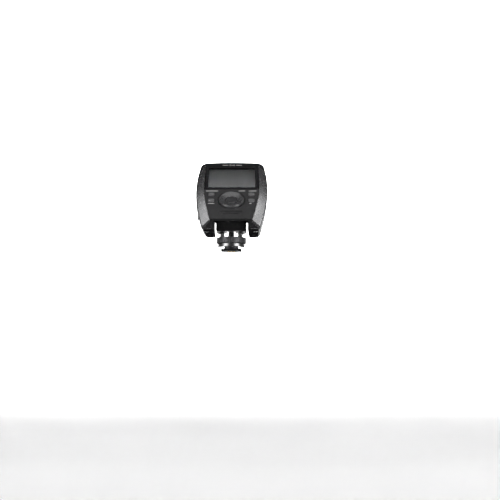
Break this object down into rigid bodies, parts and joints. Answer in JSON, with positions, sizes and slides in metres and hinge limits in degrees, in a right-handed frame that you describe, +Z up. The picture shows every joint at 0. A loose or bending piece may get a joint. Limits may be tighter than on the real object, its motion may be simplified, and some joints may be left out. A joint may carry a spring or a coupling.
{
  "type": "wireless flash trigger",
  "caption": "Hot-shoe radio flash trigger: wedge body with sloping display and dial, grey side covers, threaded clamp foot and swing-open battery door.",
  "frame": {"origin": "centre of the shoe foot's underside", "axes": "+Z up, +Y forward towards the subject (the way the foot slides into the shoe), +X to the operator's right"},
  "size_m": [0.0658, 0.069, 0.0881],
  "materials": {
    "black_case": "semi-gloss moulded plastic, very fine texture",
    "panel_black": "satin black control panel",
    "side_grey": "satin gunmetal-grey coated plastic",
    "window_clear": "clear glossy window with a black border",
    "display_grey": "unlit grey liquid-crystal display",
    "frame_white": "white reflective moulding",
    "dial_grey": "satin dark-grey dial",
    "key_grey": "satin dark-grey keys",
    "board_green": "solder-masked glass-fibre board",
    "chip_black": "moulded chip package",
    "inner_plastic": "plain black inner moulding",
    "mat_rubber": "soft silicone",
    "spring_steel": "nickel-plated spring steel",
    "cell_jacket": "plain printed cell jacket",
    "switch_cap": "ribbed black slider",
    "socket_black": "black socket moulding",
    "antenna_copper": "plated copper wire",
    "assist_red": "deep red translucent window",
    "lamp_clear": "clear lamp lens",
    "collar_chrome": "polished plated metal",
    "ring_black": "black anodised, knurled",
    "washer_steel": "satin turned metal",
    "foot_black": "black coated metal foot",
    "contact_gold": "gold-plated contact",
    "cable_black": "sleeved wire bundle",
    "screw_black": "blackened steel screw"
  },
  "bodies": {
    "case": {"upper_shell": "black_case", "lower_shell": "black_case", "face_panel": "panel_black", "lcd_window": "window_clear", "lcd_frame": "frame_white", "lcd_glass": "display_grey", "lcd_light_guide": "frame_white", "main_board": "board_green", "main_chip": "chip_black", "dome_switches": "spring_steel", "key_mat": "mat_rubber", "dial_encoder": "inner_plastic", "battery_tray": "inner_plastic", "battery_contacts": "spring_steel", "battery_springs": "spring_steel", "door_hinge_pin": "spring_steel", "power_switch_body": "inner_plastic", "sync_socket": "socket_black", "radio_board": "board_green", "shield_can": "spring_steel", "antenna": "antenna_copper", "assist_window": "assist_red", "assist_lamp": "lamp_clear", "lamp_board": "board_green", "pedestal": "black_case", "threaded_collar": "collar_chrome", "foot_plate": "foot_black", "contact_block": "inner_plastic", "centre_contact_spring": "spring_steel", "side_contact_springs": "spring_steel", "contact_cable": "cable_black", "case_screws": "screw_black", "board_screws": "screw_black", "foot_screws": "screw_black", "left_side_cover": "side_grey", "right_side_cover": "side_grey", "cell_lower": "cell_jacket", "cell_upper": "cell_jacket"},
    "clamp": {"clamp_washer": "washer_steel"},
    "ring": {"lock_ring": "ring_black"},
    "dial": {"dial_ring": "dial_grey"},
    "set_button": {"set_key": "dial_grey"},
    "door": {"battery_door": "black_case"},
    "power_slider": {"power_switch_cap": "switch_cap"},
    "centre_contact": {"centre_contact_pin": "contact_gold"},
    "side_contacts": {"side_contact_pins": "contact_gold"},
    "button_lower_left": {"key_lower_left": "key_grey"},
    "button_lower_right": {"key_lower_right": "key_grey"},
    "button_upper_left": {"key_upper_left": "key_grey"},
    "button_upper_right": {"key_upper_right": "key_grey"}
  },
  "joints": [
    {"name": "clamp_slide", "type": "slide", "parent": "case", "child": "clamp", "axis": [0, 0, 1], "range_m": [0, 0.00201]},
    {"name": "lock_ring_turn", "type": "hinge", "parent": "clamp", "child": "ring", "pos_m": [0, 0, 0.0097], "axis": [0, 0, 1], "range_deg": [0, 720]},
    {"name": "dial_turn", "type": "hinge", "parent": "case", "child": "dial", "pos_m": [0, -0.00577, 0.04553], "axis": [0, -0.7071, 0.7071], "continuous": true},
    {"name": "set_press", "type": "slide", "parent": "case", "child": "set_button", "axis": [0, 0.7071, -0.7071], "range_m": [0, 0.0005], "stiffness_N_per_m": 500},
    {"name": "battery_door_swing", "type": "hinge", "parent": "case", "child": "door", "pos_m": [0, 0.0418, 0.0634], "axis": [1, 0, 0], "range_deg": [0, 90]},
    {"name": "power_slide", "type": "slide", "parent": "case", "child": "power_slider", "axis": [0, 1, 0], "range_m": [0, 0.004]},
    {"name": "centre_contact_press", "type": "slide", "parent": "case", "child": "centre_contact", "axis": [0, 0, 1], "range_m": [0, 0.0008], "stiffness_N_per_m": 400, "deforming": ["centre_contact_spring"]},
    {"name": "side_contact_press", "type": "slide", "parent": "case", "child": "side_contacts", "axis": [0, 0, 1], "range_m": [0, 0.0008], "stiffness_N_per_m": 400, "deforming": ["side_contact_springs"]},
    {"name": "key_lower_left_press", "type": "slide", "parent": "case", "child": "button_lower_left", "axis": [0, 0.7071, -0.7071], "range_m": [0, 0.0005], "stiffness_N_per_m": 500},
    {"name": "key_lower_right_press", "type": "slide", "parent": "case", "child": "button_lower_right", "axis": [0, 0.7071, -0.7071], "range_m": [0, 0.0005], "stiffness_N_per_m": 500},
    {"name": "key_upper_left_press", "type": "slide", "parent": "case", "child": "button_upper_left", "axis": [0, 0.7071, -0.7071], "range_m": [0, 0.0005], "stiffness_N_per_m": 500},
    {"name": "key_upper_right_press", "type": "slide", "parent": "case", "child": "button_upper_right", "axis": [0, 0.7071, -0.7071], "range_m": [0, 0.0005], "stiffness_N_per_m": 500}
  ],
  "couplings": [
    {"joint": "clamp_slide", "follows": "lock_ring_turn", "m_per_rad": 0.00015915}
  ]
}
